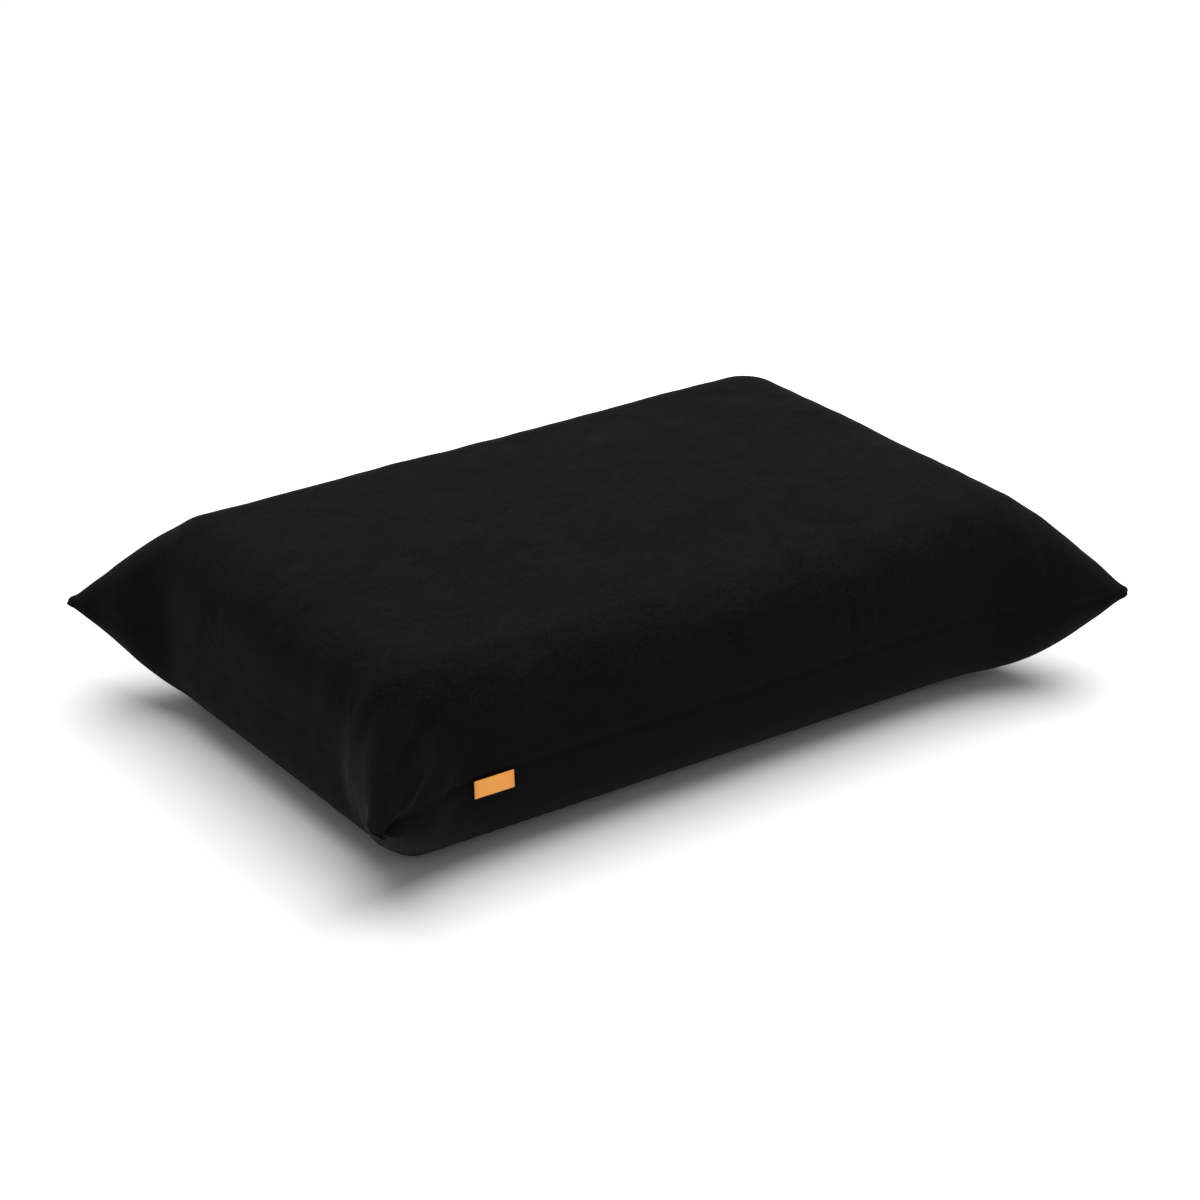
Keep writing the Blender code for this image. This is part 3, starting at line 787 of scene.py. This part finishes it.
def block_surface(low, high, corner, edge, bottom_edge, columns=96, rings=12):
    """Vertices and faces of a closed rounded block between two corners."""
    (x0, y0, z0), (x1, y1, z1) = low, high
    half_x, half_y, height = (x1 - x0) / 2, (y1 - y0) / 2, z1 - z0
    profile = []
    for k in range(rings + 1):
        turn = math.pi / 2 * k / rings
        inset = bottom_edge * (1 - math.sin(turn))
        profile.append((inset, z0 + bottom_edge * (1 - math.cos(turn))))
    for k in range(1, 5):
        profile.append((0.0, z0 + bottom_edge + (height - bottom_edge - edge) * k / 5))
    for k in range(rings + 1):
        turn = math.pi / 2 * k / rings
        profile.append((edge * (1 - math.cos(turn)), z1 - edge * (1 - math.sin(turn))))
    steps = columns // 4

    def ring(inset, z, scale=1.0):
        radius = max(corner - inset, 0.004)
        made = []
        for sx, sy, start in ((1, 1, 0), (-1, 1, 90), (-1, -1, 180), (1, -1, 270)):
            for k in range(steps + 1):
                turn = math.radians(start + 90 * k / steps)
                x = sx * (half_x - inset - radius) + radius * math.cos(turn)
                y = sy * (half_y - inset - radius) + radius * math.sin(turn)
                made.append((scale * x, scale * y, z))
        return made

    loops = [ring(bottom_edge, z0, s) for s in (0.3, 0.6, 0.8, 0.92)]
    loops += [ring(inset, z) for inset, z in profile]
    loops += [ring(edge, z1, s) for s in (0.92, 0.8, 0.6, 0.3)]
    count = len(loops[0])
    vertices = [p for loop in loops for p in loop]
    faces = []
    for k in range(len(loops) - 1):
        for i in range(count):
            j = (i + 1) % count
            faces.append((k * count + i, k * count + j, (k + 1) * count + j, (k + 1) * count + i))
    faces.append(tuple(reversed(range(count))))
    faces.append(tuple(range((len(loops) - 1) * count, len(loops) * count)))
    return np.array(vertices), faces


# Corners seen from above, upper edge and lower edge of the foam and of the liner round it.
FOAM_ROUNDING, LINER_ROUNDING = (0.050, 0.036, 0.049), (0.0509, 0.0366, 0.0496)
LINER_WALL = 0.0005


def make_foam():
    low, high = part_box("foam_core")
    vertices, faces = block_surface(low, high, *FOAM_ROUNDING)
    vertices[:, 2] += 0.0006 * broad_noise(vertices, 0.08, 11) * smooth(0.02, 0.09, vertices[:, 2])
    vertices = np.clip(vertices, np.array(low), np.array(high))
    piece = outwards(add_piece("foam_block", vertices, faces, FOAM))
    finish_piece(piece, "pillow", "foam", "foam_core")


def make_liner():
    """A thin woven casing, sewn round the middle, that keeps the foam from the cover."""
    low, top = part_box("liner_bottom")[0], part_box("liner_top")[1]
    vertices, faces = block_surface(low, top, *LINER_ROUNDING)
    ridge = 0.00022 * bell(vertices[:, 2] - SEAM, 0.0016)
    out = np.stack([vertices[:, 0] / 0.2, vertices[:, 1] / 0.13, np.zeros(len(vertices))], 1)
    vertices = vertices + out * ridge[:, None]
    girth = np.arctan2(vertices[:, 1], vertices[:, 0]) * 0.17
    cut = np.stack([girth + vertices[:, 0] * 0.2, vertices[:, 2] + vertices[:, 1] * 0.3], 1)
    piece = outwards(add_piece("foam_liner", vertices, faces, LINER_CLOTH, cut))
    give_wall(piece, LINER_WALL, -1)
    finish_piece(piece, "pillow", "liner", "liner_top", "liner_bottom")


make_foam()
make_liner()


# ---------------------------------------------------------------- zip tapes


def make_tape(name, node, side):
    """A woven tape behind the cover's edge, with a raised cord along the teeth."""
    low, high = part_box(node)
    columns, rows = 220, 14
    us, vs = np.linspace(0, 1, columns + 1), np.linspace(0, 1, rows + 1)
    grid_u, grid_v = np.meshgrid(us, vs)
    x = low.x + (high.x - low.x) * grid_u
    inner = low.z if side > 0 else high.z
    outer = high.z if side > 0 else low.z
    z = inner + (outer - inner) * grid_v
    thick = high.y - low.y
    ripple = 0.00006 * np.sin(x / 0.011 * 2 * math.pi)
    front = high.y - 0.00012 + ripple * grid_v
    front = front + 0.00012 * bell(grid_v - 0.24, 0.06)
    front = np.minimum(front, high.y)
    back = np.maximum(front - thick * 0.72, low.y)
    layers = [np.stack([x, y, z], -1).reshape(-1, 3) for y in (front, back)]
    count = (rows + 1) * (columns + 1)
    index = np.arange(count).reshape(rows + 1, columns + 1)
    quads = grid_faces(index)
    rim = np.concatenate([index[0, :-1], index[:-1, -1], index[-1, :0:-1], index[:0:-1, 0]])
    following = np.roll(rim, -1)
    walls = np.stack([rim, following, following + count, rim + count], -1)
    faces = np.concatenate([quads[:, ::-1], quads + count, walls])
    cut = np.stack([x, z], -1).reshape(-1, 2)
    cuts = np.concatenate([cut, cut])
    piece = add_piece(name, np.concatenate(layers), faces, TAPE_CLOTH, cuts)
    outwards(piece)
    finish_piece(piece, "pillow", "zip_tape", node)
    return piece


upper_tape = make_tape("upper_zip_tape", "zip_tape_upper", 1)
lower_tape = make_tape("lower_zip_tape", "zip_tape_lower", -1)


# ---------------------------------------------------------------- repeated shapes


SHAPES = ("Geometry", "NodeSocketGeometry")


def spaced_along(t, given):
    """Points on the edges of the base, one pitch apart."""
    line = t.add("GeometryNodeMeshToCurve", {"Mesh": given["Geometry"]})
    sockets = {"Curve": line.outputs[0], "Length": given["Pitch"]}
    return t.add("GeometryNodeResampleCurve", sockets, mode="LENGTH").outputs[0]


def give_back(t, given, out, copies):
    """Turns the copies into plain faces in the given finish."""
    plain = t.add("GeometryNodeRealizeInstances", {"Geometry": copies})
    sockets = {"Geometry": plain.outputs[0], "Material": given["Finish"]}
    t.feed(out[0], t.add("GeometryNodeSetMaterial", sockets).outputs[0])
    return t.tree


def grow(base, tree, values, finish):
    """Runs a tree on a base object, and makes the result its own mesh."""
    modifier = base.modifiers.new("grow", "NODES")
    modifier.node_group = tree
    for item in tree.interface.items_tree:
        if item.in_out == "INPUT" and item.name in values:
            modifier[item.identifier] = values[item.name]
    apply_modifiers(base)
    base.data.materials.clear()
    base.data.materials.append(finish)
    base.data.polygons.foreach_set("use_smooth", [True] * len(base.data.polygons))


def path_object(name, points):
    mesh = bpy.data.meshes.new(name)
    edges = [(k, k + 1) for k in range(len(points) - 1)]
    mesh.from_pydata([tuple(map(float, p)) for p in points], edges, [])
    made = bpy.data.objects.new(name, mesh)
    bpy.context.scene.collection.objects.link(made)
    return made


def make_coil_tree():
    """Loops of monofilament set side by side along a path: the teeth of a coil zip."""
    t, given, out = group(
        "coil_teeth",
        "GeometryNodeTree",
        [
            (*SHAPES, None),
            ("Pitch", "NodeSocketFloat", 0.0014),
            ("Wire", "NodeSocketFloat", 0.0003),
            ("Reach", "NodeSocketFloat", 0.0010),
            ("Rise", "NodeSocketFloat", 0.0007),
            ("Lean", "NodeSocketFloat", 0.2),
            ("Finish", "NodeSocketMaterial", None),
        ],
        [SHAPES],
    )
    loop = t.add("GeometryNodeCurvePrimitiveCircle", {"Resolution": 10, "Radius": 1.0})
    size = t.add("ShaderNodeCombineXYZ", {"X": 1.0, "Y": given["Rise"], "Z": given["Reach"]})
    stand = t.add(
        "GeometryNodeTransform",
        {"Geometry": loop.outputs["Curve"], "Rotation": (0.0, math.pi / 2, 0.0)},
    )
    sized = t.add("GeometryNodeTransform", {"Geometry": stand.outputs[0], "Scale": size.outputs[0]})
    wire = t.add("GeometryNodeCurvePrimitiveCircle", {"Resolution": 6, "Radius": given["Wire"]})
    tooth = t.add(
        "GeometryNodeCurveToMesh",
        {"Curve": sized.outputs[0], "Profile Curve": wire.outputs["Curve"], "Fill Caps": False},
    )
    turn = t.add("ShaderNodeCombineXYZ", {"X": 0.0, "Y": given["Lean"], "Z": 0.0})
    sockets = {"Points": spaced_along(t, given), "Instance": tooth.outputs[0]}
    teeth = t.add("GeometryNodeInstanceOnPoints", {**sockets, "Rotation": turn.outputs[0]})
    return give_back(t, given, out, teeth.outputs[0])


STITCH_JITTER = 0.05  # how far a stitch turns off its line, in radians


def make_stitch_tree():
    """Short thread stitches laid end to end along a path, each a little uneven."""
    t, given, out = group(
        "running_stitches",
        "GeometryNodeTree",
        [
            (*SHAPES, None),
            ("Pitch", "NodeSocketFloat", 0.0030),
            ("Stitch", "NodeSocketFloat", 0.0023),
            ("Thread", "NodeSocketFloat", 0.00022),
            ("Seed", "NodeSocketInt", 4),
            ("Finish", "NodeSocketMaterial", None),
        ],
        [SHAPES],
    )
    tangent = t.add("GeometryNodeInputTangent")
    turned = t.add("FunctionNodeAlignRotationToVector", {"Vector": tangent.outputs[0]}, axis="X")
    bead = t.add("GeometryNodeMeshUVSphere", {"Segments": 8, "Rings": 6, "Radius": 1.0})
    half, thread = t.scaled(given["Stitch"], 0.5), given["Thread"]
    size = t.add("ShaderNodeCombineXYZ", {"X": half, "Y": thread, "Z": thread})
    stitch = t.add(
        "GeometryNodeTransform", {"Geometry": bead.outputs["Mesh"], "Scale": size.outputs[0]}
    )
    jitter = t.add("FunctionNodeRandomValue", {"Seed": given["Seed"]}, data_type="FLOAT_VECTOR")
    t.feed(jitter.inputs[0], (-STITCH_JITTER,) * 3)
    t.feed(jitter.inputs[1], (STITCH_JITTER,) * 3)
    sockets = {"Points": spaced_along(t, given), "Instance": stitch.outputs[0]}
    stitches = t.add("GeometryNodeInstanceOnPoints", {**sockets, "Rotation": turned.outputs[0]})
    sockets = {"Instances": stitches.outputs[0], "Rotation": jitter.outputs[0]}
    swung = t.add("GeometryNodeRotateInstances", sockets)
    return give_back(t, given, out, swung.outputs[0])


COIL_TREE, STITCH_TREE = make_coil_tree(), make_stitch_tree()


COIL_WIRE, COIL_HOOK = 0.00034, 0.0003  # half the wire, and how far a loop hooks past its row


def make_teeth(name, node, side):
    low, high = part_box(node)
    middle_z, middle_y = (low.z + high.z) / 2, (low.y + high.y) / 2
    ends = (low.x + 0.0006, high.x - 0.0006)
    base = path_object(name, [(x, middle_y, middle_z) for x in ends])
    grow(
        base,
        COIL_TREE,
        {
            "Pitch": 0.00128,
            "Wire": COIL_WIRE,
            "Reach": (high.z - low.z) / 2 - COIL_WIRE + COIL_HOOK,
            "Rise": (high.y - low.y) / 2 - COIL_WIRE,
            "Lean": 0.16 * side,
            "Finish": NYLON,
        },
        NYLON,
    )
    finish_piece(base, "pillow", "zip_teeth", node)


make_teeth("upper_zip_teeth", "zip_coil_upper", 1)
make_teeth("lower_zip_teeth", "zip_coil_lower", -1)


# ---------------------------------------------------------------- slider, pull and stops

METAL_NODES = ("zip_slider", "zip_pull", "zip_top_stop_upper", "zip_top_stop_lower", "zip_bottom_stop")
for name in METAL_NODES:
    metal = nodes[name]
    metal.data.materials.clear()
    metal.data.materials.append(LACQUER)
    joined = metal.modifiers.new("joined", "WELD")
    joined.merge_threshold = 0.00001
    edges = metal.modifiers.new("edges", "BEVEL")
    edges.width, edges.segments, edges.limit_method = 0.00018, 2, "ANGLE"
    edges.angle_limit, edges.use_clamp_overlap = math.radians(40), True


# ---------------------------------------------------------------- labels


def folded_strip(width, drop, thickness, columns, rows, curl):
    """A ribbon folded in half: front layer, round fold at the bottom, back layer.

    Returns places as (across, out, down) and flat places for the weave.
    """
    half = thickness / 2
    layer = half * 0.42
    outline = []
    for k in range(rows + 1):
        outline.append((half - layer, (drop - half) * k / rows))
    for k in range(1, 9):
        turn = math.pi * k / 9
        down = drop - half + half * math.sin(turn) * 0.9
        outline.append(((half - layer) * math.cos(turn), down))
    for k in range(rows + 1):
        outline.append((-(half - layer), (drop - half) * (1 - k / rows)))
    outline = np.array(outline)
    run = np.concatenate([[0], np.cumsum(np.linalg.norm(np.diff(outline, axis=0), axis=1))])
    across = np.linspace(-width / 2, width / 2, columns + 1)
    x, y, down = np.broadcast_arrays(across[None, :], outline[:, 0:1], outline[:, 1:2])
    bow = curl * (down / drop) ** 2 * (1 + 0.3 * np.sin(x / width * 5.0))
    flat = np.stack(np.broadcast_arrays(x, run[:, None]), -1)
    return np.stack([x, y + bow, down], -1), flat, layer


def strip_piece(name, grid, flat, wall, finish, place):
    rows, columns = grid.shape[:2]
    faces = grid_faces(np.arange(rows * columns).reshape(rows, columns))
    piece = add_piece(name, place(grid.reshape(-1, 3)), faces, finish, flat.reshape(-1, 2))
    give_wall(piece, wall, 0)
    return piece


def make_side_label():
    low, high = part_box("side_label")
    middle_x, middle_y = (low.x + high.x) / 2, (low.y + high.y) / 2
    width, drop, thickness = high.x - low.x, high.z - low.z, high.y - low.y
    grid, flat, layer = folded_strip(width, drop, thickness, 44, 20, 0.0003)

    bpy.context.view_layer.update()
    spots = np.linspace(low.x, high.x, 7)
    heights = (low.z, low.z + 0.003, low.z + 0.006, high.z - 0.0005)
    under = []
    for spot in spots:
        reach = [cover.ray_cast(Vector((spot, -0.25, h)), Vector((0, 1, 0)))[1].y for h in heights]
        under.append(min(reach))
    curve = np.polyfit(spots, under, 2)

    def place(points):
        """Lies on the cover, a thread's thickness clear of it."""
        x, z = points[:, 0] + middle_x, high.z - points[:, 2]
        middle = np.minimum(np.polyval(curve, x) - thickness / 2 - 0.0003, middle_y + 0.0006)
        return np.stack([x, middle - points[:, 1], z], 1)

    piece = strip_piece("orange_side_label", grid, flat, layer, ORANGE_SATIN, place)
    finish_piece(piece, "side_flap", "side_label", "side_label")
    return middle_x, middle_y, high.z, width, drop, thickness


def make_care_label():
    low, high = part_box("care_label")
    middle_y, middle_x = (low.y + high.y) / 2, (low.x + high.x) / 2
    width, drop, thickness = high.y - low.y, high.z - low.z, high.x - low.x
    grid, flat, layer = folded_strip(width, drop, thickness, 40, 48, 0.0016)

    def place(points):
        return np.stack([middle_x + points[:, 1], points[:, 0] + middle_y, high.z - points[:, 2]], 1)

    piece = strip_piece("white_care_label", grid, flat, layer, WHITE_SATIN, place)
    finish_piece(piece, "care_flap", "care_label", "care_label")


label_place = make_side_label()
make_care_label()


def add_stitches(name, points, body, slot, finish, **values):
    base = path_object(name, points)
    grow(base, STITCH_TREE, {"Finish": finish, **values}, finish)
    finish_piece(base, body, slot)


def make_label_stitches():
    """Merrowed ends of the orange label: a line of darker thread down each side."""
    middle_x, middle_y, top, width, drop, thickness = label_place
    face = middle_y - thickness / 2 - 0.0003
    for name, side in (("label_stitches_left", -1), ("label_stitches_right", 1)):
        x = middle_x + side * (width / 2 - 0.0011)
        points = []
        for k in range(9):
            z = top - 0.0010 - k * (drop - 0.0022) / 8
            points.append((x, face + 0.00022 - 0.0003 * ((top - z) / drop) ** 2, z))
        add_stitches(
            name, points, "side_flap", "side_label", ORANGE_THREAD, Pitch=0.00085,
            Stitch=0.0008, Thread=0.00013, Seed=6,
        )


make_label_stitches()


def cover_point(x, height, out):
    """A point just outside the cover's back, at a height above or below the seam."""
    spot = Vector((x, 0.20, SEAM + height))
    hit, place, _, _ = cover.ray_cast(spot, Vector((0, -1, 0)))
    if not hit:
        place = Vector((x, 0.1328, SEAM + height))
    return place + Vector((0, out, 0))


def make_zip_stitches():
    """Topstitching that holds each folded edge of the cover to its tape."""
    bpy.context.view_layer.update()
    for name, side in (("upper_zip_stitches", 1), ("lower_zip_stitches", -1)):
        height = side * (ZIP_HALF_GAP + 0.0034)
        points = [cover_point(-0.149 + 0.298 * k / 140, height, 0.00002) for k in range(141)]
        add_stitches(
            name, points, "pillow", "cover", BLACK_THREAD, Pitch=0.0031, Stitch=0.0026,
            Thread=0.00026, Seed=12,
        )


make_zip_stitches()


# ---------------------------------------------------------------- floor, light and camera


def make_floor():
    mesh = bpy.data.meshes.new("floor")
    mesh.from_pydata([(-9, -9, 0), (9, -9, 0), (9, 9, 0), (-9, 9, 0)], [], [(0, 1, 2, 3)])
    floor = bpy.data.objects.new("floor", mesh)
    bpy.context.scene.collection.objects.link(floor)
    made, t, shader = material("pale_floor", Roughness=0.9, Specular_IOR_Level=0.1)
    cloud = t.noise(t.place(), 3.0)
    t.feed(shader.inputs["Base Color"], t.mix(cloud, grey(0.90), grey(0.93)))
    floor.data.materials.append(made)


def area_light(name, place, aim, size, power):
    lamp = bpy.data.lights.new(name, "AREA")
    lamp.shape, lamp.size, lamp.size_y, lamp.energy = "RECTANGLE", size[0], size[1], power
    made = bpy.data.objects.new(name, lamp)
    bpy.context.scene.collection.objects.link(made)
    made.location = place
    made.rotation_mode = "QUATERNION"
    made.rotation_quaternion = (Vector(aim) - Vector(place)).to_track_quat("-Z", "Y")


def make_light():
    world = bpy.data.worlds.new("studio")
    world.use_nodes = True
    sky = world.node_tree.nodes["Background"]
    sky.inputs["Color"].default_value = grey(1)
    sky.inputs["Strength"].default_value = 0.34
    bpy.context.scene.world = world
    area_light("overhead", (0.38, 0.16, 1.8), (0, 0, 0), (2.6, 2.6), 63)
    area_light("front_glow", (0.6, -2.2, 1.5), (0, 0, 0.05), (1.6, 0.8), 3.0)


def make_camera():
    camera = bpy.data.objects.new("camera", bpy.data.cameras.new("camera"))
    bpy.context.scene.collection.objects.link(camera)
    camera.data.lens, camera.data.sensor_width = 96.4, 36
    turn, rise = math.radians(-35.085), math.radians(25.022)
    level = math.cos(rise)
    back = Vector((math.sin(turn) * level, -math.cos(turn) * level, math.sin(rise)))
    camera.location = (-0.8760, -1.2482, 0.7626)
    camera.rotation_mode = "QUATERNION"
    camera.rotation_quaternion = (-back).to_track_quat("-Z", "Y")
    bpy.context.scene.camera = camera


make_floor()
make_light()
make_camera()
bpy.context.scene.view_settings.view_transform = "Standard"
